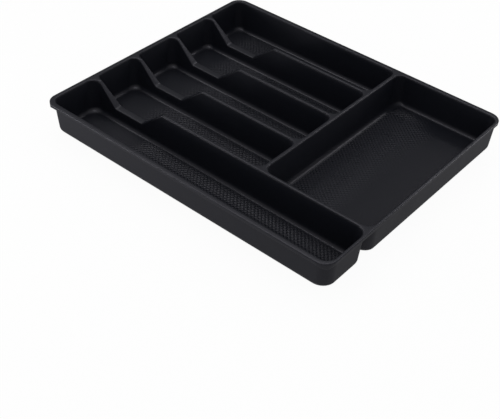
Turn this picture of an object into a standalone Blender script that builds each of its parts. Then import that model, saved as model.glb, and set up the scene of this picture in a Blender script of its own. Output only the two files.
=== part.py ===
"""Black moulded drawer tray for cutlery and stationery: six drafted tubs hung from one rim.

Units are metres, +Z is up. The origin is at the middle of the underside. +X runs from the end with the
finger notches to the end with the large tub, and +Y from the long tub to the back of the tray.

The real tray is one moulding. It is drawn as its natural regions: the rim frame, the five divider ridges,
and for each tub a wall shell and a floor panel. Neighbouring regions meet with a thin parting gap.
"""

import math

import bmesh
import bpy

# Compartments, measured at the rim
CUTLERY_TUB_LENGTH = 0.2441
LARGE_TUB_LENGTH = 0.1329
LONG_TUB_WIDTH = 0.0626
CUTLERY_TUB_WIDTH = 0.0604
BACK_TUB_WIDTH = 0.0575
CUTLERY_TUB_COUNT = 4

# Heights and wall sections
TRAY_HEIGHT = 0.0390
FLOOR_THICKNESS = 0.0022
WALL_THICKNESS = 0.0018
TOP_THICKNESS = 0.0020
DRAFT_ANGLE = math.radians(4.2)
FLOOR_FILLET = 0.0055
FLOOR_MARGIN = 0.0010

# Leans that differ from the draft: the front and right outer walls, the walls of the cutlery tubs with those
# of the long tub that face them, and the large tub's wall beside the cross divider
OUTER_WALL_ANGLE = math.radians(2.5)
CUTLERY_WALL_ANGLE = math.radians(6.2)
CROSS_WALL_ANGLE = math.radians(9.0)

# Space between two tubs' walls at the top of a hollow divider
DIVIDER_CORE = 0.0003

# Rim flange: its width at the notch end, at the large tub's end and along the sides
NOTCH_END_RIM = 0.0054
LARGE_END_RIM = 0.0037
SIDE_RIM = 0.0060
RIM_EDGE = 0.0007

# Turned-down lip of the rim, deeper round the tray's corners
LIP_HEIGHT = 0.0042
LIP_CORNER_DROP = 0.0030
LIP_THICKNESS = 0.0012
LIP_TAPER = 0.0003

# Plan radii at the rim
RIM_CORNER = 0.0150
LONG_TUB_CORNER = 0.0120
CUTLERY_TUB_CORNER = 0.0095
LARGE_TUB_CORNER = 0.0110
LEAST_CORNER = 0.0065

# Finger notch in the dividers, along X from the tubs' notch end
NOTCH_START = 0.0090
NOTCH_RUN = 0.0284
NOTCH_BED = 0.0417
NOTCH_DEPTH = 0.0240

# Parting gap between neighbouring regions, and the steps of a round quarter
GAP = 0.0003
CORNER_STEPS = 6
FILLET_STEPS = 4

PLASTIC = (0.012, 0.012, 0.013, 1.0)
PLASTIC_ROUGHNESS = 0.45
FLOOR_ROUGHNESS = 0.55

# Sizes that follow from the ones above
DRAFT = math.tan(DRAFT_ANGLE)
OUTER_LEAN = math.tan(OUTER_WALL_ANGLE)
CUTLERY_LEAN = math.tan(CUTLERY_WALL_ANGLE)
CROSS_LEAN = math.tan(CROSS_WALL_ANGLE)
RIDGE_WIDTH = 2 * WALL_THICKNESS + DIVIDER_CORE
TUBS_LENGTH = CUTLERY_TUB_LENGTH + RIDGE_WIDTH + LARGE_TUB_LENGTH
TRAY_LENGTH = NOTCH_END_RIM + TUBS_LENGTH + LARGE_END_RIM
FRONT_TUBS_WIDTH = (CUTLERY_TUB_COUNT - 1) * (CUTLERY_TUB_WIDTH + RIDGE_WIDTH)
TRAY_WIDTH = 2 * SIDE_RIM + LONG_TUB_WIDTH + RIDGE_WIDTH + FRONT_TUBS_WIDTH + BACK_TUB_WIDTH

LEFT = -TRAY_LENGTH / 2 + NOTCH_END_RIM
RIGHT = TRAY_LENGTH / 2 - LARGE_END_RIM
FRONT = -TRAY_WIDTH / 2 + SIDE_RIM
BACK = TRAY_WIDTH / 2 - SIDE_RIM
LONG_BACK = FRONT + LONG_TUB_WIDTH
CUTLERY_RIGHT = LEFT + CUTLERY_TUB_LENGTH
LARGE_LEFT = CUTLERY_RIGHT + RIDGE_WIDTH
WALL_TOP = TRAY_HEIGHT - TOP_THICKNESS - GAP

# Leans of each tub's front, right, back and left wall
LONG_LEANS = (OUTER_LEAN, OUTER_LEAN, CUTLERY_LEAN, CUTLERY_LEAN)
CUTLERY_LEANS = (CUTLERY_LEAN,) * 4
LARGE_LEANS = (DRAFT, OUTER_LEAN, DRAFT, CROSS_LEAN)

NOTCH_POINTS = (
    LEFT + NOTCH_START,
    LEFT + NOTCH_START + NOTCH_RUN,
    LEFT + NOTCH_START + NOTCH_RUN + NOTCH_BED,
    LEFT + NOTCH_START + 2 * NOTCH_RUN + NOTCH_BED,
)


def clear_scene():
    """Removes whatever the opened file holds."""
    for item in list(bpy.data.objects):
        bpy.data.objects.remove(item, do_unlink=True)


def plastic(name, roughness):
    """Black moulded plastic with the roughness of its tool face."""
    material = bpy.data.materials.new(name)
    material.use_nodes = True
    shader = material.node_tree.nodes["Principled BSDF"]
    shader.inputs["Base Color"].default_value = PLASTIC
    shader.inputs["Roughness"].default_value = roughness
    shader.inputs["Metallic"].default_value = 0.0
    return material


def notch_drop(x):
    """Depth of the finger notch below the rim at x: down a slope, along a level bed and up again."""
    start, foot, end, top = NOTCH_POINTS
    if x <= start or x >= top:
        return 0.0
    if x < foot:
        return NOTCH_DEPTH * (x - start) / NOTCH_RUN
    if x <= end:
        return NOTCH_DEPTH
    return NOTCH_DEPTH * (top - x) / NOTCH_RUN


class Outline:
    """A rectangle with round corners, walked anticlockwise from its front left corner.

    A station is a corner and an angle, or a side and a place along it, so the same station can be drawn
    at any inset. marks are the X places that get a station of their own on the front and back sides.
    leans are the tangents of the lean of the front, right, back and left wall.
    """

    def __init__(self, low, high, radii, marks=(), leans=(DRAFT,) * 4):
        self.low = low
        self.high = high
        self.radii = radii
        self.leans = leans
        self.stations = []
        left, right = low[0], high[0]
        for corner in range(4):
            for step in range(CORNER_STEPS + 1):
                angle = math.pi + (corner + step / CORNER_STEPS) * math.pi / 2
                self.stations.append(("corner", corner, angle))
            if corner == 0:
                self.add_marks("front", [x for x in marks if left + radii[0] < x < right - radii[1]])
            if corner == 2:
                backwards = reversed(marks)
                self.add_marks("back", [x for x in backwards if left + radii[3] < x < right - radii[2]])

    def add_marks(self, side, places):
        for place in places:
            self.stations.append((side, place, None))

    def point(self, station, inset):
        """The plan point of a station on the outline drawn inwards by inset."""
        kind, value, angle = station
        if kind == "front":
            return value, self.low[1] + inset
        if kind == "back":
            return value, self.high[1] - inset
        radius = max(self.radii[value] - inset, LEAST_CORNER)
        reach = inset + radius
        centre_x = self.low[0] + reach if value in (0, 3) else self.high[0] - reach
        centre_y = self.low[1] + reach if value in (0, 1) else self.high[1] - reach
        return centre_x + radius * math.cos(angle), centre_y + radius * math.sin(angle)

    def lean(self, station):
        """Tangent of the wall's lean at a station. It changes evenly round a corner."""
        front, right, back, left = self.leans
        kind, value, angle = station
        if kind != "corner":
            return front if kind == "front" else back
        across = left if value in (0, 3) else right
        along = front if value in (0, 1) else back
        return across * math.cos(angle) ** 2 + along * math.sin(angle) ** 2

    def side(self, station):
        """front or back where the station's wall faces along Y, and end elsewhere."""
        kind, value, angle = station
        if kind != "corner":
            return kind
        if abs(math.sin(angle)) < math.sin(math.pi / 4):
            return "end"
        return "front" if value in (0, 1) else "back"


def add_object(name, bm, material, parent):
    """Puts a finished mesh into the scene as one named sub-part."""
    bmesh.ops.remove_doubles(bm, verts=bm.verts, dist=1e-7)
    bmesh.ops.recalc_face_normals(bm, faces=bm.faces)
    mesh = bpy.data.meshes.new(name)
    bm.to_mesh(mesh)
    bm.free()
    mesh.materials.append(material)
    mesh.shade_smooth()
    mesh.set_sharp_from_angle(angle=math.radians(35))
    part = bpy.data.objects.new(name, mesh)
    part.parent = parent
    bpy.context.scene.collection.objects.link(part)
    return part


def bridge(bm, rings, closed):
    """Quads between rings of equal length. closed joins the last to the first, else the ends are capped."""
    loops = [[bm.verts.new(point) for point in ring] for ring in rings]
    count = len(loops[0])
    pairs = list(zip(loops, loops[1:]))
    if closed:
        pairs.append((loops[-1], loops[0]))
    for near, far in pairs:
        for i in range(count):
            j = (i + 1) % count
            bm.faces.new((near[i], near[j], far[j], far[i]))
    if not closed:
        bm.faces.new(loops[0])
        bm.faces.new(loops[-1])


def rim_frame(material, parent):
    """Flat flange round the tray with a turned-down lip, its top edges broken.

    The lip draws in a little towards its foot, which hangs lowest at the middle of each corner.
    """
    half = (TRAY_LENGTH / 2, TRAY_WIDTH / 2)
    outer = Outline((-half[0], -half[1]), half, [RIM_CORNER] * 4)
    tub_corners = [LONG_TUB_CORNER, LONG_TUB_CORNER, LARGE_TUB_CORNER, CUTLERY_TUB_CORNER]
    inner = Outline((LEFT, FRONT), (RIGHT, BACK), tub_corners)
    under = TRAY_HEIGHT - TOP_THICKNESS
    lip_foot = TRAY_HEIGHT - LIP_HEIGHT
    profile = [
        (outer, RIM_EDGE, TRAY_HEIGHT),
        (outer, 0.0, TRAY_HEIGHT - RIM_EDGE),
        (outer, LIP_TAPER, lip_foot),
        (outer, LIP_TAPER + LIP_THICKNESS, lip_foot),
        (outer, LIP_THICKNESS, under),
        (inner, 0.0, under),
        (inner, 0.0, TRAY_HEIGHT - RIM_EDGE),
        (inner, -RIM_EDGE, TRAY_HEIGHT),
    ]
    rings = []
    for outline, inset, z in profile:
        ring = []
        for station in outline.stations:
            drop = LIP_CORNER_DROP * math.sin(2 * station[2]) ** 2 if z == lip_foot else 0.0
            ring.append((*outline.point(station, inset), z - drop))
        rings.append(ring)
    bm = bmesh.new()
    bridge(bm, rings, closed=True)
    return add_object("rim_frame", bm, material, parent)


def flare(distance, radius):
    """Extra width of a ridge near its end, where the tub's round corner runs into its neighbour."""
    if distance >= radius:
        return 0.0
    return radius - math.sqrt(radius**2 - (radius - distance) ** 2)


def flare_places(start, end, radii):
    """Places along a ridge that draw its flared ends as even arcs."""
    places = {start + GAP, end - GAP}
    corners = zip(radii, (start, end, start, end), (1, -1, 1, -1))
    for radius, corner, sense in corners:
        first = math.acos(1 - GAP / radius)
        for step in range(1, CORNER_STEPS + 1):
            angle = first + (math.pi / 2 - first) * step / CORNER_STEPS
            places.add(corner + sense * radius * (1 - math.cos(angle)))
    return places


def ridge(name, start, end, low, high, radii, leans, along_x, material, parent):
    """A divider's top: a plate from start to end between low and high, flared at both ends.

    radii are those of the tub corners at low start, low end, high start and high end. A ridge along X
    dips through the finger notch, and widens there because the tubs' walls lean away from it. leans are
    those of the walls at low and high.
    """
    low_lean, high_lean = leans
    places = flare_places(start, end, radii)
    if along_x:
        places.update(x for x in NOTCH_POINTS if start < x < end)
    rings = []
    for place in sorted(places):
        drop = notch_drop(place) if along_x else 0.0
        near, far = place - start, end - place
        low_edge = low - flare(near, radii[0]) - flare(far, radii[1]) - low_lean * drop
        high_edge = high + flare(near, radii[2]) + flare(far, radii[3]) + high_lean * drop
        top = TRAY_HEIGHT - drop
        section = [
            (low_edge - low_lean * RIM_EDGE, top - RIM_EDGE),
            (low_edge + RIM_EDGE, top),
            (high_edge - RIM_EDGE, top),
            (high_edge + high_lean * RIM_EDGE, top - RIM_EDGE),
            (high_edge + high_lean * TOP_THICKNESS, top - TOP_THICKNESS),
            (low_edge - low_lean * TOP_THICKNESS, top - TOP_THICKNESS),
        ]
        rings.append([(place, y, z) if along_x else (y, place, z) for y, z in section])
    bm = bmesh.new()
    bridge(bm, rings, closed=False)
    return add_object(name, bm, material, parent)


def wall_profile(fillet):
    """Inset and height of a tub wall's section, from the floor's edge up the inside and down the outside.

    The inner face turns into the floor by the fillet. Insets count from where the leaning inner face would
    reach the height of the fillet's centre. None stands for the wall's top, which follows the notch.
    """
    centre_z = FLOOR_THICKNESS + fillet
    outer_fillet = centre_z
    inner_centre = fillet / math.cos(DRAFT_ANGLE)
    outer_centre = outer_fillet / math.cos(DRAFT_ANGLE) - WALL_THICKNESS
    floor_edge = max(inner_centre, outer_centre) + FLOOR_MARGIN
    sweep = [DRAFT_ANGLE + (math.pi / 2 - DRAFT_ANGLE) * i / FILLET_STEPS for i in range(FILLET_STEPS + 1)]
    points = [(floor_edge, FLOOR_THICKNESS)]
    for angle in reversed(sweep):
        points.append((inner_centre - fillet * math.cos(angle), centre_z - fillet * math.sin(angle)))
    points.append(("inner", None))
    points.append(("outer", None))
    for angle in sweep:
        inset = outer_centre - outer_fillet * math.cos(angle)
        points.append((inset, centre_z - outer_fillet * math.sin(angle)))
    points.append((floor_edge, 0.0))
    return points, floor_edge


def tub(name, low, high, corner, leans, notched, materials, parent):
    """One compartment: a drafted wall shell with round corners, and the floor panel inside its foot."""
    outline = Outline(low, high, [corner] * 4, NOTCH_POINTS if notched else (), leans)
    lowest_top = WALL_TOP - NOTCH_DEPTH if notched else WALL_TOP
    fillet = min(FLOOR_FILLET, 0.8 * (lowest_top - FLOOR_THICKNESS))
    profile, floor_edge = wall_profile(fillet)
    turn_depth = TRAY_HEIGHT - FLOOR_THICKNESS - fillet

    rings = []
    for inset, z in profile:
        ring = []
        for station in outline.stations:
            lean = outline.lean(station)
            if z is None:
                in_notch = outline.side(station) in notched
                drop = notch_drop(outline.point(station, 0.0)[0]) if in_notch else 0.0
                height = WALL_TOP - drop
                reach = lean * (TRAY_HEIGHT - height)
                if inset == "outer":
                    reach -= WALL_THICKNESS
            else:
                height = z
                reach = lean * turn_depth + inset
            ring.append((*outline.point(station, reach), height))
        rings.append(ring)
    bm = bmesh.new()
    bridge(bm, rings, closed=True)
    add_object(name + "_wall", bm, materials["wall"], parent)

    panel = []
    for station in outline.stations:
        if station[0] == "corner":
            panel.append(outline.point(station, outline.lean(station) * turn_depth + floor_edge + GAP))
    bm = bmesh.new()
    bridge(bm, [[(x, y, z) for x, y in panel] for z in (0.0, FLOOR_THICKNESS)], closed=False)
    add_object(name + "_floor", bm, materials["floor"], parent)


def build():
    clear_scene()
    tray = bpy.data.objects.new("drawer_tray", None)
    bpy.context.scene.collection.objects.link(tray)
    materials = {
        "rim": plastic("moulded rim", PLASTIC_ROUGHNESS),
        "wall": plastic("moulded wall", PLASTIC_ROUGHNESS),
        "floor": plastic("textured floor", FLOOR_ROUGHNESS),
    }
    rim_frame(materials["rim"], tray)

    low, high = (LEFT, FRONT), (RIGHT, LONG_BACK)
    tub("long_tub", low, high, LONG_TUB_CORNER, LONG_LEANS, ("back",), materials, tray)
    large_front = LONG_BACK + RIDGE_WIDTH
    low, high = (LARGE_LEFT, large_front), (RIGHT, BACK)
    tub("large_tub", low, high, LARGE_TUB_CORNER, LARGE_LEANS, (), materials, tray)
    corners = (LONG_TUB_CORNER, LONG_TUB_CORNER, CUTLERY_TUB_CORNER, LARGE_TUB_CORNER)
    leans = (CUTLERY_LEAN, CUTLERY_LEAN)
    ridge("long_divider", LEFT, RIGHT, LONG_BACK, large_front, corners, leans, True, materials["rim"], tray)
    corners = (CUTLERY_TUB_CORNER, CUTLERY_TUB_CORNER, LARGE_TUB_CORNER, LARGE_TUB_CORNER)
    low, high = CUTLERY_RIGHT, LARGE_LEFT
    cross_leans = (CUTLERY_LEAN, CROSS_LEAN)
    ridge("cross_divider", large_front, BACK, low, high, corners, cross_leans, False, materials["rim"], tray)

    front = large_front
    for number in range(1, CUTLERY_TUB_COUNT + 1):
        last = number == CUTLERY_TUB_COUNT
        back = BACK if last else front + CUTLERY_TUB_WIDTH
        notched = ("front",) if last else ("front", "back")
        low, high = (LEFT, front), (CUTLERY_RIGHT, back)
        tub(f"cutlery_tub_{number}", low, high, CUTLERY_TUB_CORNER, CUTLERY_LEANS, notched, materials, tray)
        front = back + RIDGE_WIDTH
        if not last:
            name, corners = f"short_divider_{number}", (CUTLERY_TUB_CORNER,) * 4
            ridge(name, LEFT, CUTLERY_RIGHT, back, front, corners, leans, True, materials["rim"], tray)


build()
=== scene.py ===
"""A black moulded drawer tray with cutlery tubs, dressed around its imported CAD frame.

The tray is one moulding. Each piece here is one region of it, and the regions meet edge to edge, so that no
parting line shows: a rim, five divider ridges, six tub shells and six floor panels with a diamond relief.
Every edge of a tub's mouth is an outline with round corners. A surface is that outline drawn at an inset and
a height that follow a section, so rim, ridges, shells and floors share the same stations.
"""

import math

import bmesh
import bpy
import numpy as np
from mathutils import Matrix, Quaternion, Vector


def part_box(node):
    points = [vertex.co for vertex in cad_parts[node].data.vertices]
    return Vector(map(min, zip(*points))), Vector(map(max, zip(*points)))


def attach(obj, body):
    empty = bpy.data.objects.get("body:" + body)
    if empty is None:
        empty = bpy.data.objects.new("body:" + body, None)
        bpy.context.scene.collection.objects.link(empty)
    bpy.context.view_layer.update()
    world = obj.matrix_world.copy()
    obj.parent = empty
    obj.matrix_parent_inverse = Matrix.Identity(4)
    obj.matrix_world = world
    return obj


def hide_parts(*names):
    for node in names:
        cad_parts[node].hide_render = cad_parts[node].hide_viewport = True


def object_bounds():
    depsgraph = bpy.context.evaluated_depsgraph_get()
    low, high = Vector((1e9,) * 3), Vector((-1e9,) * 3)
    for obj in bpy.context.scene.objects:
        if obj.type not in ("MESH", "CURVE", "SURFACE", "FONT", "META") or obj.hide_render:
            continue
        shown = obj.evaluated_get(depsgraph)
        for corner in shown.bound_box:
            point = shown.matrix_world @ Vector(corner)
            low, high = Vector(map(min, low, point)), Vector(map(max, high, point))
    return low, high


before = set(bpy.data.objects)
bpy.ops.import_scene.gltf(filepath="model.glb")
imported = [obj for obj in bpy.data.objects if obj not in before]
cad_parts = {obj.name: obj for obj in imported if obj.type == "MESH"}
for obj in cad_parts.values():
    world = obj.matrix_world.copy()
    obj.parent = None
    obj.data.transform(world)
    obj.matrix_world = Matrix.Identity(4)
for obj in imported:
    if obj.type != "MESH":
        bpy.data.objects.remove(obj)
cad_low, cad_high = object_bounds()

MM = 0.001

# Heights and sections of the moulding
WALL = 1.8 * MM
TOP = 2.0 * MM
FLOOR = 2.2 * MM
PARTING = 0.3 * MM
DRAFT_ANGLE = math.radians(4.2)
DRAFT = math.tan(DRAFT_ANGLE)
FLOOR_FILLET = 5.5 * MM
MOUTH_ROUND = 1.2 * MM

# Leans of each tub's front, right, back and left wall, as tangents
OUTER_LEAN = math.tan(math.radians(2.5))
CUTLERY_LEAN = math.tan(math.radians(6.2))
CROSS_LEAN = math.tan(math.radians(9.0))
LEFT_LEAN = math.tan(math.radians(8.0))
LONG_LEANS = (OUTER_LEAN, OUTER_LEAN, CUTLERY_LEAN, LEFT_LEAN)
CUTLERY_LEANS = (CUTLERY_LEAN, CUTLERY_LEAN, CUTLERY_LEAN, LEFT_LEAN)
LARGE_LEANS = (DRAFT, OUTER_LEAN, DRAFT, CROSS_LEAN)

# Rim lip, deeper round the corners
LIP_HEIGHT = 4.2 * MM
LIP_CORNER_DROP = 3.0 * MM
LIP_THICKNESS = 1.2 * MM
LIP_TAPER = 0.3 * MM
LIP_ROUND = 0.9 * MM
LIP_FOOT_ROUND = 0.4 * MM
RIM_CORNER = 15.0 * MM

# Plan radii of the tubs' mouths
LONG_CORNER = 12.0 * MM
CUTLERY_CORNER = 9.5 * MM
LARGE_CORNER = 11.0 * MM

# How fast a corner's curve widens with the inset, and how far along a side that is felt
CORNER_WIDENING = 1.3
CORNER_EASE = 20.0 * MM

# Finger notch, along X from the left end of the cutlery tubs
NOTCH_START = 9.0 * MM
NOTCH_RUN = 28.4 * MM
NOTCH_BED = 41.7 * MM
NOTCH_DEPTH = 24.0 * MM
NOTCH_ROUND = 1.6 * MM

# Diamond relief: its diagonals along and across a tub, its height, and the width it fades over at an edge
DIAMOND_LENGTH = 4.7 * MM
DIAMOND_WIDTH = 5.8 * MM
DIAMOND_HEIGHT = 0.60 * MM
DIAMOND_FADE = 0.9 * MM

# Two distances from a floor's left end, and the share of the relief's height at each
LONG_RELIEF = (np.array([70.0, 100.0]) * MM, (0.0, 1.0))
LARGE_RELIEF = (np.array([25.0, 70.0]) * MM, (1.0, 0.05))

# Where the relief begins in each cutlery tub, from the front to the back, and the length it rises over
CUTLERY_RELIEF_STARTS = np.array([40.0, 40.0, 25.0, 8.0]) * MM
CUTLERY_RELIEF_FADE = 20.0 * MM

# Fineness of round stretches
ARC_STEPS = 16
EDGE_STEPS = 6
FILLET_STEPS = 10
KINK_STEPS = 6

# Stations that keep flat stretches flat: beside an arc, beside a kink in its rounds, and up a wall in shares
SUPPORT = 0.6 * MM
KINK_SUPPORT = 1.4
WALL_SHARES = np.array([0.02, 0.98, 1.0])

# Stretch at a plain edge's ends where its stations are drawn in to pair with those of the edge facing it
PAIRING_EASE = 7.0 * MM

# Part along Y of a normal that belongs to the front or to the back
FACING = 0.7

# Digits to which places in metres and normals are rounded, so that equal ones match
PLACE_DIGITS = 7
NORMAL_DIGITS = 12

# Distance within which points are one, and the angles in degrees that smooth shading bridges
MERGE_DISTANCE = 0.002 * MM
SMOOTH_ANGLE = 40.0
FACET_ANGLE = 5.0

# Camera: where it looks, in metres from the origin, and how
CAMERA_TARGET = np.array([0.0891, -0.1493, 0.0390])
CAMERA_AZIMUTH = math.radians(37.907)
CAMERA_ELEVATION = math.radians(40.634)
CAMERA_ROLL = math.radians(3.470)
CAMERA_DISTANCE = 0.9378
CAMERA_LENS = 69.54
CAMERA_SENSOR = 36.0

# Black plastic: its pigment, the tint of its shine, and its index of refraction
PLASTIC_DARK = "#12141a"
PLASTIC_PALE = "#15171d"
SHEEN = "#f5f2ff"
POLYPROPYLENE_IOR = 1.49

# Clouds of the pigment, and patches where the gloss changes by this much roughness either way
CLOUD_SIZE = 45.0 * MM
CLOUD_DETAIL = 3.0
GLOSS_SIZE = 20.0 * MM
GLOSS_DETAIL = 2.0
GLOSS_CHANGE = 0.04

# Grain of the tool, drawn several times as coarse as a real one, which would be too fine to show
GRAIN_SIZE = 0.9 * MM
GRAIN_DETAIL = 1.0

# Upward part of its normal up to which a face is upright, and from which it is level
UPRIGHT_FACE = 0.2
LEVEL_FACE = 0.5

# Finishes: roughness of level and of upright faces, level of the shine, and height of the grain
# The rim's flat tops carry a broad soft shine, and its lip is dull
RIM_FINISH = (0.30, 0.60, 0.60, 0.02 * MM)
# The insides are smooth and mirror the dark of the tub, so they look nearly black
INSIDE_FINISH = (0.32, 0.35, 0.50, 0.02 * MM)
# The outsides are dull and grained, an even dark grey
OUTSIDE_FINISH = (0.30, 0.60, 0.50, 0.03 * MM)
# The floors' smooth facets each catch or lose the light as a whole, so the diamonds glint
FLOOR_FINISH = (0.28, 0.28, 0.31, 0.01 * MM)

# Roughness added at the floors' ends: all of it at the first X of a pair, in metres, and none at the second
FLOOR_END_DULLING = 0.12
DULL_ENDS = ((-0.125, -0.095), (0.160, 0.110))

# Light: the room's strength on the object, and the room's and the paper's in its reflections
ROOM_FILL = 0.7
ROOM_MIRRORED = (0.02, 0.38)
PAPER_MIRRORED = 0.38

# Upward part of a direction where the mirrored room begins to brighten, and where it is brightest
ROOM_RISE = (0.2, 0.9)

# White paper: its colour, half its size in metres, and the share of it that glows where it is seen
PAPER_WHITE = "#f4f4f4"
PAPER_HALF = 4.0
PAPER_GLOW = 0.95
GLOW_WHITE = (1, 1, 1, 1)

# Soft boxes: place and size in metres, watts, and turn about the box's own middle in degrees
SOFT_BOXES = {
    "top_box": ((-0.16, -0.05, 1.30), (0.13, 0.80), 1.1, -43.0),
    "ceiling_box": ((-0.42, 0.60, 1.30), (0.60, 0.25), 0.75, 0.0),
    "side_box": ((-0.85, 0.28, 1.30), (0.45, 0.45), 1.5, 0.0),
    "back_box": ((0.06, 0.84, 0.85), (0.40, 0.13), 0.6, 0.0),
    "front_box": ((-0.42, -0.50, 0.06), (0.40, 0.08), 1.05, 0.0),
    "right_box": ((0.45, 0.42, 0.07), (0.30, 0.10), 0.5, 0.0),
}

# Measures that follow from the frame and from the sizes above
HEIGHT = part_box("rim_frame")[1].z
NOTCH_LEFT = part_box("cutlery_tub_1_wall")[0].x + WALL - CUTLERY_LEAN * (TOP + PARTING)
TURN_DEPTH = HEIGHT - FLOOR - FLOOR_FILLET
NOTCH_KINKS = np.cumsum([NOTCH_START, NOTCH_RUN, NOTCH_BED, NOTCH_RUN])
NOTCH_SLOPES = np.array([1, -1, -1, 1]) * NOTCH_DEPTH / NOTCH_RUN


# Outlines


def mouth(tub, leans):
    """Low and high plan corners of a tub's mouth at rim level, from its CAD wall's box.

    The wall's outer face leans, so at its top it lies a wall less that lean outside the mouth.
    """
    front, right, back, left = (WALL - lean * (TOP + PARTING) for lean in leans)
    low, high = (np.array(corner)[:2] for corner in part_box(tub + "_wall"))
    return low + (left, front), high - (right, back)


def soft_ramp(distance, half_width):
    """0 before the kink and distance after it, joined by a parabola over half_width on each side."""
    middle = (distance + half_width) ** 2 / (4 * half_width)
    return np.where(distance < -half_width, 0.0, np.where(distance > half_width, distance, middle))


def notch_drop(x):
    """Depth of the finger notch below the rim: a sum of soft ramps, one for each kink of its profile."""
    along = np.asarray(x)[..., None] - (NOTCH_LEFT + NOTCH_KINKS)
    return (NOTCH_SLOPES * soft_ramp(along, NOTCH_ROUND)).sum(-1)


def notch_stations():
    """X places that draw the notch: a few across each rounded kink and one support on either side."""
    bend = np.linspace(-1, 1, KINK_STEPS + 1)
    across = np.concatenate([[-KINK_SUPPORT], bend, [KINK_SUPPORT]]) * NOTCH_ROUND
    return (NOTCH_LEFT + NOTCH_KINKS[:, None] + across).ravel()


def arc(centre, radius, start_quarter):
    """A quarter circle, anticlockwise from start_quarter times 90 degrees."""
    angle = (start_quarter + np.linspace(0, 1, ARC_STEPS + 1)) * math.pi / 2
    normal = np.stack([np.cos(angle), np.sin(angle)], -1).round(NORMAL_DIGITS)
    return Run(np.array(centre) + radius * normal, normal, in_corner=True)


def side(start, end, normal, places=()):
    """A straight side from start to end with a support near each end and stations at the given distances."""
    length = np.linalg.norm(end - start)
    places = np.concatenate([[SUPPORT, length - SUPPORT], places])
    places = np.unique(places[(places > 0) & (places < length)].round(PLACE_DIGITS))
    share = np.concatenate([[0.0], places / length, [1.0]])[:, None]
    points = start + (end - start) * share
    return Run(points, np.tile(normal, (len(points), 1)))


class Run:
    """A stretch of a mouth's edge.

    It holds plan points, outward normals, the tangent of the wall's lean below each point, and whether a
    point is open and in a corner.
    """

    fields = ("points", "normals", "is_open", "in_corner", "leans")

    def __init__(self, points, normals, is_open=True, in_corner=False, leans=DRAFT):
        self.points = points
        self.normals = normals
        self.is_open = np.broadcast_to(is_open, len(points))
        self.in_corner = np.broadcast_to(in_corner, len(points))
        self.leans = np.broadcast_to(leans, len(points))

    def part(self, index):
        """The stations that a slice picks, as a run of their own."""
        return Run(*(getattr(self, field)[index] for field in self.fields))

    def back(self):
        """The same run walked the other way."""
        return self.part(slice(None, None, -1))


JOINT = None


def chain(*runs, closed=False):
    """Runs joined end to end. A point that two runs share is kept once, as the corner's.

    JOINT between two runs stands for the stretch where a ridge joins on: both its ends repeat the
    neighbours' end points, but aren't open.
    """
    kept = []
    for i, run in enumerate(runs):
        before, after = runs[i - 1], runs[(i + 1) % len(runs)]
        if run is JOINT:
            ends = [before.part(slice(-1, None)), after.part(slice(0, 1))]
            kept += [Run(end.points, end.normals, False, leans=end.leans) for end in ends]
            continue
        starts_shared = (i > 0 or closed) and before is not JOINT and not run.in_corner[0]
        ends_shared = (i < len(runs) - 1 or closed) and after is not JOINT and not run.in_corner[-1]
        kept.append(run.part(slice(int(starts_shared), len(run.points) - int(ends_shared))))
    return Run(*(np.concatenate([getattr(run, field) for run in kept]) for field in Run.fields))


class Mouth:
    """A tub's mouth: its corners from the front left anticlockwise, and the side after each corner.

    marks are X places that get a station on the front and back sides. leans are those of the front, right,
    back and left wall, and a lean goes over evenly into the next round a corner.
    """

    def __init__(self, tub, corner, leans, marks=()):
        low, high = mouth(tub, leans)
        self.inner_low, self.inner_high = low + corner, high - corner
        (x0, y0), (x1, y1) = self.inner_low, self.inner_high
        marks = np.asarray(marks, float)
        centres = [(x0, y0), (x1, y0), (x1, y1), (x0, y1)]
        self.corners = [arc(centre, corner, quarter) for centre, quarter in zip(centres, (2, 3, 0, 1))]
        places = [marks - x0, (), x1 - marks, ()]
        following = self.corners[1:] + self.corners[:1]
        self.front, self.right, self.rear, self.left = [
            side(here.points[-1], there.points[0], here.normals[-1], place)
            for here, there, place in zip(self.corners, following, places)
        ]
        front, right, back, left = leans
        for run in (*self.corners, self.front, self.right, self.rear, self.left):
            across, along = run.normals.T
            end_lean = np.where(across < 0, left, right)
            side_lean = np.where(along < 0, front, back)
            run.leans = end_lean * across**2 + side_lean * along**2

    def at(self, run, inset, skin=0.0):
        """Plan points of a run drawn inwards by insets, one row of them for each station.

        A plain inset would tighten a corner. It is widened by more than that, so its ends slide along the
        sides, and the stations beside it follow. skin is how far a point lies outside the inner face, whose
        corner it shares.
        """
        growth = CORNER_WIDENING * np.maximum(0.0, inset + skin)
        to_low = np.clip(1 - (run.points - self.inner_low) / CORNER_EASE, 0, 1)
        to_high = np.clip(1 - (self.inner_high - run.points) / CORNER_EASE, 0, 1)
        slide = run.normals - to_high + to_low
        drawn_in = run.points[:, None] - inset[..., None] * run.normals[:, None]
        return drawn_in + growth[..., None] * slide[:, None]

    def loop(self):
        """The whole mouth as one closed run."""
        sides = (self.front, self.right, self.rear, self.left)
        return chain(*(run for pair in zip(self.corners, sides) for run in pair), closed=True)


def plain_beside(busy, corner_in, corner_out, axis):
    """A plain edge facing a busy one: corner_in, a straight side with the busy edge's stations, corner_out.

    The straight side's places are the busy edge's own, drawn in near its ends where the corners differ.
    """
    inner = busy.points[ARC_STEPS:-ARC_STEPS, axis]
    start, end = corner_in.points[-1], corner_out.points[0]
    known = [inner[0], inner[0] + PAIRING_EASE, inner[-1] - PAIRING_EASE, inner[-1]]
    places = np.interp(inner, known, [start[axis], known[1], known[2], end[axis]])
    points = np.tile(start, (len(places), 1))
    points[:, axis] = places
    normals = np.tile(corner_in.normals[-1], (len(places), 1))
    straight = Run(points, normals, leans=corner_in.leans[-1])
    return chain(corner_in, straight, corner_out)


# Mesh makers


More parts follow.
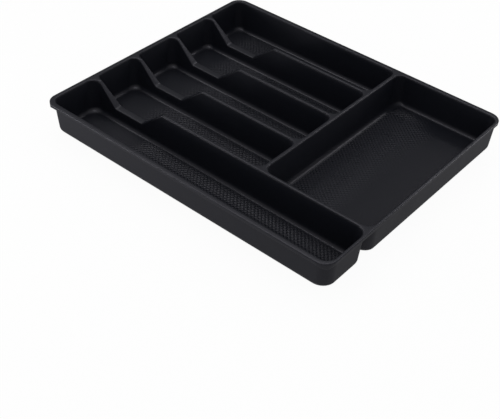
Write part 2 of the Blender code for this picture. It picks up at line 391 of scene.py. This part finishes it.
def ring_faces(stations, section, closed):
    """Quads of a grid of stations by section points. The section is closed, the path closed on request."""
    grid = np.arange(stations * section).reshape(stations, section)
    following = np.roll(grid, -1, 0) if closed else grid[1:]
    grid = grid if closed else grid[:-1]
    quads = np.stack([grid, np.roll(grid, -1, 1), np.roll(following, -1, 1), following], -1)
    return quads.reshape(-1, 4).tolist()


def add_piece(name, points, faces, materials, nodes, sharp=SMOOTH_ANGLE, chosen=None):
    """One closed mesh at the origin, shaded smooth up to the sharp angle, riding on the tray's body.

    Points that fall together are merged, which takes out the faces that have no area. chosen holds the place
    of each face's material among the materials.
    """
    mesh = bpy.data.meshes.new(name)
    mesh.from_pydata(points.reshape(-1, 3).tolist(), [], faces)
    for material in materials:
        mesh.materials.append(material)
    if chosen is not None:
        mesh.polygons.foreach_set("material_index", chosen)
    solid = bmesh.new()
    solid.from_mesh(mesh)
    bmesh.ops.remove_doubles(solid, verts=solid.verts, dist=MERGE_DISTANCE)
    solid.to_mesh(mesh)
    solid.free()
    mesh.shade_smooth()
    mesh.set_sharp_from_angle(angle=math.radians(sharp))
    piece = bpy.data.objects.new(name, mesh)
    bpy.context.scene.collection.objects.link(piece)
    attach(piece, "root")
    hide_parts(*nodes)


def mouth_section():
    """Inset and depth of a mouth's edge, from the flat top over a round edge and down the wall by TOP.

    The round edge touches the flat top and the leaning wall, whose planes meet at inset 0.
    """
    centre = -MOUTH_ROUND * (1 - math.sin(DRAFT_ANGLE)) / math.cos(DRAFT_ANGLE)
    angle = np.linspace(math.pi / 2, DRAFT_ANGLE, EDGE_STEPS + 1)
    inset = centre + MOUTH_ROUND * np.cos(angle)
    depth = MOUTH_ROUND - MOUTH_ROUND * np.sin(angle)
    return np.append(inset, DRAFT * TOP), np.append(depth, TOP)


def edge_points(edge, notched):
    """The mouth section carried along an edge, as stations by section points, from the flat top downwards.

    notched is the share of the notch's depth by which it drops. Where a ridge joins on, the section is a
    plain upright face at the end of the flat top.
    """
    inset, depth = mouth_section()
    drop = notch_drop(edge.points[:, 0]) * notched
    inset = np.tile(inset, (len(drop), 1))
    inset[:, -1] = edge.leans * TOP
    reach = np.where(edge.is_open[:, None], inset, inset[:, :1]) + (edge.leans * drop)[:, None]
    points = np.empty((*reach.shape, 3))
    points[..., :2] = edge.points[:, None] - reach[..., None] * edge.normals[:, None]
    points[..., 2] = HEIGHT - drop[:, None] - depth
    return points


# Pieces


def ridge(name, left_edge, right_edge, notched, material):
    """A divider's top: two mouth edges with a flat between them, closed by a plate's underside.

    The edges are named as someone sees them who walks along the ridge. Their stations are paired in order,
    so both have as many.
    """
    left = edge_points(left_edge, notched)
    right = edge_points(right_edge, notched)
    points = np.concatenate([left[:, ::-1], right], 1)
    stations, section = points.shape[:2]
    faces = ring_faces(stations, section, closed=False)
    faces.append(list(range(section))[::-1])
    faces.append(list(range((stations - 1) * section, stations * section)))
    add_piece(name, points, faces, [material], [name.replace("_ridge", "")])


def lip_section():
    """Inset from the rim's outline, depth, and share of the corner's drop, along the lip's section.

    It goes over the round top edge, down to the foot, round the foot as half an ellipse, and up behind it.
    """
    top = np.linspace(0, math.pi / 2, EDGE_STEPS + 1)
    foot = np.linspace(0, math.pi, 2 * EDGE_STEPS + 1)
    foot_inset = LIP_TAPER + LIP_THICKNESS / 2 * (1 - np.cos(foot))
    foot_depth = LIP_HEIGHT - LIP_FOOT_ROUND + LIP_FOOT_ROUND * np.sin(foot)
    inset = [LIP_ROUND * (1 - np.sin(top)), foot_inset, [LIP_THICKNESS]]
    depth = [LIP_ROUND * (1 - np.cos(top)), foot_depth, [TOP]]
    share = [np.zeros_like(top), np.ones_like(foot), [0]]
    return tuple(np.concatenate(part) for part in (inset, depth, share))


def rim_outline(edge):
    """The rim's outer outline beside each station of the inner edge.

    A corner's station takes the outer corner at the same angle. Any other is carried straight out.
    """
    reach = np.array([cad_high.x, cad_high.y])
    signs = np.sign(edge.points)
    corner = signs * (reach - RIM_CORNER) + RIM_CORNER * edge.normals
    out = np.where(edge.normals.round() != 0, signs * reach, edge.points)
    return np.where(edge.in_corner[:, None], corner, out)


def rim(edge, material):
    """The flat rim with its lip: the mouths' outer edges joined to the lip's section round the outline.

    The lip drops by the squared sine of twice the angle round a corner, so by most in its middle.
    """
    inner = edge_points(edge, 0.0)
    inset, depth, share = lip_section()
    corner_drop = LIP_CORNER_DROP * (2 * edge.normals.prod(1)) ** 2
    outer = np.empty((len(inner), len(inset), 3))
    outer[..., :2] = rim_outline(edge)[:, None] - inset[:, None] * edge.normals[:, None]
    outer[..., 2] = HEIGHT - depth - corner_drop[:, None] * share
    points = np.concatenate([outer, inner[:, ::-1]], 1)
    faces = ring_faces(*points.shape[:2], closed=True)
    add_piece("rim_moulding", points, faces, [material], ["rim_frame"])


def shell_section():
    """Inset and height of a tub wall's inner fillet upwards and outer one downwards, and the floor's edge.

    Both are arcs about one height, from straight down to square on the leaning wall. Insets count from
    where the leaning inner face would reach that height.
    """
    centre_z = FLOOR + FLOOR_FILLET
    inner_centre = FLOOR_FILLET / math.cos(DRAFT_ANGLE)
    outer_centre = centre_z / math.cos(DRAFT_ANGLE) - WALL
    angle = np.linspace(math.pi / 2, DRAFT_ANGLE, FILLET_STEPS + 1)
    out, down = np.cos(angle), np.sin(angle)
    inner = np.stack([inner_centre - FLOOR_FILLET * out, centre_z - FLOOR_FILLET * down], -1)
    outer = np.stack([outer_centre - centre_z * out, centre_z - centre_z * down], -1)
    return inner, outer[::-1], inner_centre


def shell(tub, outline, notched, inside, outside):
    """A tub's drafted wall carried round its mouth, its top following the notch on the notched sides."""
    loop = outline.loop()
    plan, normal, leans = loop.points, loop.normals, loop.leans[:, None]
    inner, outer, floor_edge = shell_section()
    facing = np.select([normal[:, 1] < -FACING, normal[:, 1] > FACING], ["front", "back"], "end")
    drop = notch_drop(plan[:, 0]) * np.isin(facing, notched)
    top = HEIGHT - TOP - drop

    def wall(foot, thickness):
        """Insets and heights of a leaning face, from just above its foot to the top."""
        height = foot[1] + (top - foot[1])[:, None] * WALL_SHARES
        return leans * (HEIGHT - height) - thickness, height

    def fixed(section):
        """Insets and heights of a section that is the same all round, set where the wall leads."""
        return leans * TURN_DEPTH + section[:, 0], np.tile(section[:, 1], (len(plan), 1))

    up = wall(inner[-1], 0.0)
    down = tuple(part[:, ::-1] for part in wall(outer[0], WALL))
    foot = fixed(np.array([[floor_edge, 0.0]]))
    stretches = zip(fixed(inner), up, down, fixed(outer), foot)
    inset, height = (np.concatenate(parts, 1) for parts in stretches)
    is_outside = np.arange(inset.shape[1]) >= len(inner) + len(WALL_SHARES)
    skin = np.append(WALL * is_outside[:-1], 0.0)
    points = np.empty((*inset.shape, 3))
    points[..., :2] = outline.at(loop, inset, skin)
    points[..., 2] = height
    faces = ring_faces(*points.shape[:2], closed=True)
    chosen = np.tile(is_outside, len(plan)).astype(np.int32)
    add_piece(tub + "_shell", points, faces, [inside, outside], [tub + "_wall"], chosen=chosen)


def diamond_relief(x, y, cell):
    """Height of the diamond texture: four-sided pyramids with grooves between. cell holds their diagonals."""
    across = np.stack([x / cell[0] + y / cell[1], x / cell[0] - y / cell[1]])
    away = np.abs(2 * (across - np.floor(across)) - 1)
    return DIAMOND_HEIGHT * (1 - away.max(0))


def floor_panel(tub, outline, relief, material):
    """A floor with its relief: rows between the left and right edges, which follow the round corners.

    Rows and columns stand half a diamond apart, on the diamonds' middles and groove crossings. Columns that
    would pass an edge end on it, and each quad is cut along its lower diagonal, where a groove runs. relief
    holds distances from the floor's left end and the relief's share there.
    """
    edge = shell_section()[2]
    front_left, front_right, back_right, back_left = [
        outline.at(run, (run.leans * TURN_DEPTH + edge)[:, None])[:, 0] for run in outline.corners
    ]
    left_edge = np.concatenate([front_left[::-1], back_left[::-1]])
    right_edge = np.concatenate([front_right, back_right])
    low, high = left_edge.min(0), right_edge.max(0)
    cell = np.array([DIAMOND_LENGTH, DIAMOND_WIDTH])
    if high[1] - low[1] > high[0] - low[0]:
        cell = cell[::-1]
    marks = [
        half * np.arange(math.ceil(start / half), math.ceil(end / half))
        for start, end, half in zip(low, high, cell / 2)
    ]
    columns = np.concatenate([[low[0]], marks[0], [high[0]]])
    rows = np.unique(np.concatenate([left_edge[:, 1], right_edge[:, 1], marks[1]]).round(PLACE_DIGITS))
    left = np.interp(rows, left_edge[:, 1], left_edge[:, 0])[:, None]
    right = np.interp(rows, right_edge[:, 1], right_edge[:, 0])[:, None]
    x = np.clip(columns, left, right)
    y = np.broadcast_to(rows[:, None], x.shape)
    from_edge = np.minimum.reduce([x - left, right - x, y - low[1], high[1] - y])
    share = np.clip(from_edge / DIAMOND_FADE, 0, 1) * np.interp(x - low[0], *relief)
    top = np.stack([x, y, FLOOR + (diamond_relief(x, y, cell) - DIAMOND_HEIGHT / 2) * share], -1)

    index = np.arange(x.size).reshape(x.shape)
    a, b, c, d = index[:-1, :-1], index[:-1, 1:], index[1:, 1:], index[1:, :-1]
    z = top[..., 2].ravel()
    along = (z[a] + z[c] < z[b] + z[d])[..., None]
    first = np.where(along, np.stack([a, b, c], -1), np.stack([a, b, d], -1))
    second = np.where(along, np.stack([a, c, d], -1), np.stack([b, c, d], -1))
    faces = first.reshape(-1, 3).tolist() + second.reshape(-1, 3).tolist()
    border = np.concatenate([index[0, :-1], index[:-1, -1], index[-1, :0:-1], index[:0:-1, 0]])
    under = top.reshape(-1, 3)[border] * (1, 1, 0)
    below = x.size + np.arange(len(border))
    sides = np.stack([below, np.roll(below, -1), np.roll(border, -1), border], -1)
    faces += sides.tolist()
    faces.append(below[::-1].tolist())
    points = np.concatenate([top.reshape(-1, 3), under])
    name = tub + "_diamond_floor"
    add_piece(name, points, faces, [material], [tub + "_floor"], sharp=FACET_ANGLE)


# Materials


def linear(hex_colour):
    """Linear red, green, blue and alpha of an sRGB hex colour, by the sRGB standard's curve.

    A channel near black is divided by 12.92. Any other has 0.055 added, is divided by 1.055 and is raised to
    the power of 2.4.
    """
    channels = np.array([int(hex_colour[i : i + 2], 16) for i in (1, 3, 5)]) / 255
    low, high = channels / 12.92, ((channels + 0.055) / 1.055) ** 2.4
    return (*np.where(channels <= 0.04045, low, high).tolist(), 1.0)


def add_node(tree, kind, settings=None, inputs=None):
    """Adds a node, sets its properties, and fills its inputs with values or with links from sockets."""
    node = tree.nodes.new(kind)
    for key, value in (settings or {}).items():
        setattr(node, key, value)
    for key, value in (inputs or {}).items():
        if isinstance(value, bpy.types.NodeSocket):
            tree.links.new(value, node.inputs[key])
        else:
            node.inputs[key].default_value = value
    return node


def moulded_polypropylene(name, level, upright, shine, grain_height, end_dulling=0.0):
    """Black polypropylene: near-black and satin, with a fine even grain.

    level and upright are the roughness of level and of upright faces, which the tool's eroded sides leave
    duller. The pigment clouds a little, and the gloss varies where the melt cooled. end_dulling is the
    roughness added towards both ends of the tray.
    """
    material = bpy.data.materials.new(name)
    material.use_nodes = True
    tree = material.node_tree
    tree.nodes.clear()
    place = add_node(tree, "ShaderNodeTexCoord").outputs["Object"]
    cloud = add_node(
        tree, "ShaderNodeTexNoise",
        inputs={"Vector": place, "Scale": 1 / CLOUD_SIZE, "Detail": CLOUD_DETAIL},
    )
    # Inputs 6 and 7 of a colour mix are its two colours, and output 2 is the mixed one
    tint = add_node(
        tree, "ShaderNodeMix", {"data_type": "RGBA"},
        {0: cloud.outputs["Fac"], 6: linear(PLASTIC_DARK), 7: linear(PLASTIC_PALE)},
    )
    normal = add_node(tree, "ShaderNodeNewGeometry").outputs["Normal"]
    height = add_node(tree, "ShaderNodeSeparateXYZ", inputs={0: normal}).outputs["Z"]
    steep = add_node(tree, "ShaderNodeMath", {"operation": "ABSOLUTE"}, {0: height})
    base = add_node(
        tree, "ShaderNodeMapRange",
        inputs={
            "Value": steep.outputs[0], "From Min": UPRIGHT_FACE, "From Max": LEVEL_FACE,
            "To Min": upright, "To Max": level,
        },
    )
    patch = add_node(
        tree, "ShaderNodeTexNoise",
        inputs={"Vector": place, "Scale": 1 / GLOSS_SIZE, "Detail": GLOSS_DETAIL},
    )
    change = add_node(
        tree, "ShaderNodeMapRange",
        inputs={"Value": patch.outputs["Fac"], "To Min": -GLOSS_CHANGE, "To Max": GLOSS_CHANGE},
    )
    rough = add_node(tree, "ShaderNodeMath", inputs={0: base.outputs["Result"], 1: change.outputs["Result"]})
    if end_dulling:
        along = add_node(tree, "ShaderNodeSeparateXYZ", inputs={0: place}).outputs["X"]
        for start, end in DULL_ENDS:
            step = add_node(
                tree, "ShaderNodeMapRange",
                inputs={
                    "Value": along, "From Min": start, "From Max": end,
                    "To Min": end_dulling, "To Max": 0.0,
                },
            )
            rough = add_node(tree, "ShaderNodeMath", inputs={0: rough.outputs[0], 1: step.outputs["Result"]})
    grain = add_node(
        tree, "ShaderNodeTexNoise",
        inputs={"Vector": place, "Scale": 1 / GRAIN_SIZE, "Detail": GRAIN_DETAIL},
    )
    bump = add_node(
        tree, "ShaderNodeBump",
        inputs={"Height": grain.outputs["Fac"], "Distance": grain_height, "Strength": 1.0},
    )
    shader = add_node(
        tree, "ShaderNodeBsdfPrincipled",
        inputs={
            "Base Color": tint.outputs[2],
            "Roughness": rough.outputs[0],
            "Normal": bump.outputs["Normal"],
            "IOR": POLYPROPYLENE_IOR,
            "Specular IOR Level": shine,
            "Specular Tint": linear(SHEEN),
        },
    )
    add_node(tree, "ShaderNodeOutputMaterial", inputs={"Surface": shader.outputs["BSDF"]})
    return material


# Stage


def seen_strength(tree, in_mirrors, otherwise):
    """A strength by kind of ray: 1 for those from the camera and through glass.

    It is in_mirrors for glossy rays, and otherwise for those that light the object.
    """
    path = add_node(tree, "ShaderNodeLightPath").outputs
    direct = add_node(
        tree, "ShaderNodeMath", inputs={0: path["Is Camera Ray"], 1: path["Is Transmission Ray"]}
    )
    mirrored = add_node(
        tree, "ShaderNodeMapRange",
        inputs={"Value": path["Is Glossy Ray"], "To Min": otherwise, "To Max": in_mirrors},
    )
    return add_node(
        tree, "ShaderNodeMapRange",
        inputs={"Value": direct.outputs[0], "To Min": mirrored.outputs["Result"], "To Max": 1.0},
    ).outputs["Result"]


def pale_floor():
    """A white sweep: seen nearly white, and it keeps a faint shadow of the tray.

    Rays that see it take most from a glow and the rest from the shaded paper. Rays that light the tray find
    plain paper.
    """
    mesh = bpy.data.meshes.new("pale_floor")
    corners = [(x * PAPER_HALF, y * PAPER_HALF, 0) for x, y in ((-1, -1), (1, -1), (1, 1), (-1, 1))]
    mesh.from_pydata(corners, [], [(0, 1, 2, 3)])
    floor = bpy.data.objects.new("pale_floor", mesh)
    bpy.context.scene.collection.objects.link(floor)
    material = bpy.data.materials.new("white paper sweep")
    material.use_nodes = True
    tree = material.node_tree
    tree.nodes.clear()
    paper = add_node(tree, "ShaderNodeBsdfDiffuse", inputs={"Color": linear(PAPER_WHITE)})
    path = add_node(tree, "ShaderNodeLightPath").outputs
    strength = seen_strength(tree, PAPER_MIRRORED, 1.0)
    glow = add_node(tree, "ShaderNodeEmission", inputs={"Color": GLOW_WHITE, "Strength": strength})
    seen = add_node(tree, "ShaderNodeMath", inputs={0: path["Is Camera Ray"], 1: path["Is Transmission Ray"]})
    mirrored = add_node(tree, "ShaderNodeMath", inputs={0: seen.outputs[0], 1: path["Is Glossy Ray"]})
    share = add_node(
        tree, "ShaderNodeMath", {"operation": "MULTIPLY"}, {0: mirrored.outputs[0], 1: PAPER_GLOW}
    )
    mix = add_node(
        tree, "ShaderNodeMixShader", inputs={0: share.outputs[0], 1: paper.outputs[0], 2: glow.outputs[0]}
    )
    add_node(tree, "ShaderNodeOutputMaterial", inputs={"Surface": mix.outputs[0]})
    mesh.materials.append(material)


def soft_light():
    """A white room with soft boxes round the tray.

    The room fills the shading evenly. In reflections it is dim and gets paler upwards.
    """
    world = bpy.data.worlds.new("white room")
    bpy.context.scene.world = world
    world.use_nodes = True
    tree = world.node_tree
    tree.nodes.clear()
    towards = add_node(tree, "ShaderNodeTexCoord").outputs["Generated"]
    upwards = add_node(tree, "ShaderNodeSeparateXYZ", inputs={0: towards}).outputs["Z"]
    mirrored = add_node(
        tree, "ShaderNodeMapRange",
        inputs={
            "Value": upwards, "From Min": ROOM_RISE[0], "From Max": ROOM_RISE[1],
            "To Min": ROOM_MIRRORED[0], "To Max": ROOM_MIRRORED[1],
        },
    )
    strength = seen_strength(tree, mirrored.outputs["Result"], ROOM_FILL)
    back = add_node(tree, "ShaderNodeBackground", inputs={"Color": GLOW_WHITE, "Strength": strength})
    add_node(tree, "ShaderNodeOutputWorld", inputs={"Surface": back.outputs[0]})
    for name, (place, size, watts, turn) in SOFT_BOXES.items():
        soft_box(name, place, size, watts, turn)


def soft_box(name, place, size, watts, turn):
    """A rectangular lamp that faces the origin, turned about its own middle."""
    lamp = bpy.data.lights.new(name, "AREA")
    lamp.shape = "RECTANGLE"
    lamp.size, lamp.size_y = size
    lamp.energy = watts
    box = bpy.data.objects.new(name, lamp)
    box.location = place
    facing = box.location.to_track_quat("Z", "Y")
    box.rotation_euler = (facing @ Quaternion((0, 0, 1), math.radians(turn))).to_euler()
    bpy.context.scene.collection.objects.link(box)


def camera():
    """A camera on a sphere round its target: azimuth from the front towards +X, elevation, then a roll."""
    sin_az, cos_az = math.sin(CAMERA_AZIMUTH), math.cos(CAMERA_AZIMUTH)
    sin_el, cos_el = math.sin(CAMERA_ELEVATION), math.cos(CAMERA_ELEVATION)
    back = np.array([sin_az * cos_el, -cos_az * cos_el, sin_el])
    level = np.array([cos_az, sin_az, 0.0])
    upright = np.cross(back, level)
    right = math.cos(CAMERA_ROLL) * level + math.sin(CAMERA_ROLL) * upright
    up = np.cross(back, right)
    matrix = np.eye(4)
    matrix[:3] = np.stack([right, up, back, CAMERA_TARGET + CAMERA_DISTANCE * back], 1)
    data = bpy.data.cameras.new("camera")
    data.sensor_fit = "HORIZONTAL"
    data.sensor_width = CAMERA_SENSOR
    data.lens = CAMERA_LENS
    item = bpy.data.objects.new("camera", data)
    item.matrix_world = matrix.T.tolist()
    bpy.context.scene.collection.objects.link(item)
    bpy.context.scene.camera = item


# Build


def build_tray():
    """All regions of the moulding, from the mouths of its six tubs."""
    marks = notch_stations()
    long = Mouth("long_tub", LONG_CORNER, LONG_LEANS, marks)
    large = Mouth("large_tub", LARGE_CORNER, LARGE_LEANS)
    cutlery_names = [f"cutlery_tub_{number}" for number in range(1, len(CUTLERY_RELIEF_STARTS) + 1)]
    cutlery = [Mouth(name, CUTLERY_CORNER, CUTLERY_LEANS, marks) for name in cutlery_names]
    first, last = cutlery[0], cutlery[-1]

    rim_plastic = moulded_polypropylene("satin black polypropylene rim", *RIM_FINISH)
    inside_plastic = moulded_polypropylene("satin black polypropylene inside", *INSIDE_FINISH)
    outside_plastic = moulded_polypropylene("satin black polypropylene outside", *OUTSIDE_FINISH)
    floor_plastic = moulded_polypropylene("textured black polypropylene", *FLOOR_FINISH, FLOOR_END_DULLING)

    rim_runs = [long.left, long.corners[0], long.front, long.corners[1], long.right, JOINT]
    rim_runs += [large.right, large.corners[2], large.rear, JOINT]
    rim_runs += [last.rear, last.corners[3], last.left, JOINT]
    for tub in cutlery[-2::-1]:
        rim_runs += [tub.left, JOINT]
    rim(chain(*rim_runs, closed=True), rim_plastic)

    busy = chain(first.corners[0], first.front, JOINT, large.front, large.corners[1])
    plain = plain_beside(busy, long.corners[3].back(), long.corners[2].back(), 0)
    ridge("long_divider_ridge", busy, plain, 1.0, rim_plastic)

    busy_runs = [first.corners[1], first.right]
    for tub in cutlery[1:]:
        busy_runs += [JOINT, tub.right]
    busy = chain(*busy_runs, last.corners[2])
    plain = plain_beside(busy, large.corners[0].back(), large.corners[3].back(), 1)
    ridge("cross_divider_ridge", busy, plain, 0.0, rim_plastic)

    for number, (near, far) in enumerate(zip(cutlery, cutlery[1:]), 1):
        left = chain(far.corners[0], far.front, far.corners[1])
        right = chain(near.corners[3].back(), near.rear.back(), near.corners[2].back())
        ridge(f"short_divider_{number}_ridge", left, right, 1.0, rim_plastic)

    tubs = [("long_tub", long, ["back"], LONG_RELIEF), ("large_tub", large, [], LARGE_RELIEF)]
    for name, tub, start in zip(cutlery_names, cutlery, CUTLERY_RELIEF_STARTS):
        notched = ["front"] if tub is last else ["front", "back"]
        relief = ((start, start + CUTLERY_RELIEF_FADE), (0.0, 1.0))
        tubs.append((name, tub, notched, relief))
    for name, tub, notched, relief in tubs:
        shell(name, tub, notched, inside_plastic, outside_plastic)
        floor_panel(name, tub, relief, floor_plastic)


bpy.context.scene.view_settings.view_transform = "Standard"
build_tray()
pale_floor()
soft_light()
camera()
